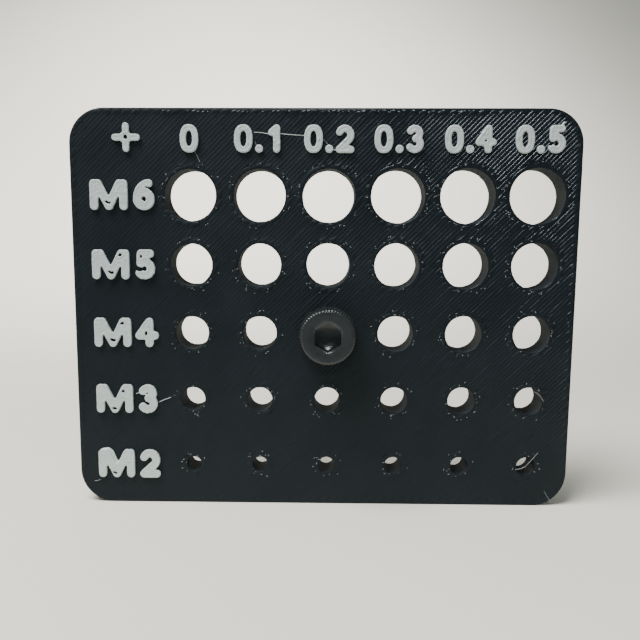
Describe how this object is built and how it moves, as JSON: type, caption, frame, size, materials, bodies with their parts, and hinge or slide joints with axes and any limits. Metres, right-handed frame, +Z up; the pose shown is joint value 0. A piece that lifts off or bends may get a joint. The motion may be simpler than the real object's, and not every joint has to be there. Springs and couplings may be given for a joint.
{
  "type": "hole clearance gauge",
  "caption": "Printed gauge plate with a grid of through holes that tries the clearance of machine screws, with raised size marks and a socket cap screw in one hole.",
  "frame": {"origin": "centre of the plate's bottom edge, which it stands on", "axes": "+X along the rows of holes, towards more clearance; +Y into the plate, away from the marked front face; +Z up, towards the row of the largest screw"},
  "size_m": [0.0588, 0.016, 0.0467],
  "materials": {
    "black_filament": "satin",
    "grey_filament": "gloss",
    "black_oxide_steel": "satin"
  },
  "bodies": {
    "root": {"gauge_plate": "black_filament", "mark_plus": "grey_filament", "mark_0": "grey_filament", "mark_0_1_zero": "grey_filament", "mark_0_1_point": "grey_filament", "mark_0_1_one": "grey_filament", "mark_0_2_zero": "grey_filament", "mark_0_2_point": "grey_filament", "mark_0_2_two": "grey_filament", "mark_0_3_zero": "grey_filament", "mark_0_3_point": "grey_filament", "mark_0_3_three": "grey_filament", "mark_0_4_zero": "grey_filament", "mark_0_4_point": "grey_filament", "mark_0_4_four": "grey_filament", "mark_0_5_zero": "grey_filament", "mark_0_5_point": "grey_filament", "mark_0_5_five": "grey_filament", "mark_m6_letter": "grey_filament", "mark_m6_six": "grey_filament", "mark_m5_letter": "grey_filament", "mark_m5_five": "grey_filament", "mark_m4_letter": "grey_filament", "mark_m4_four": "grey_filament", "mark_m3_letter": "grey_filament", "mark_m3_three": "grey_filament", "mark_m2_letter": "grey_filament", "mark_m2_two": "grey_filament", "socket_screw": "black_oxide_steel"}
  },
  "joints": []
}
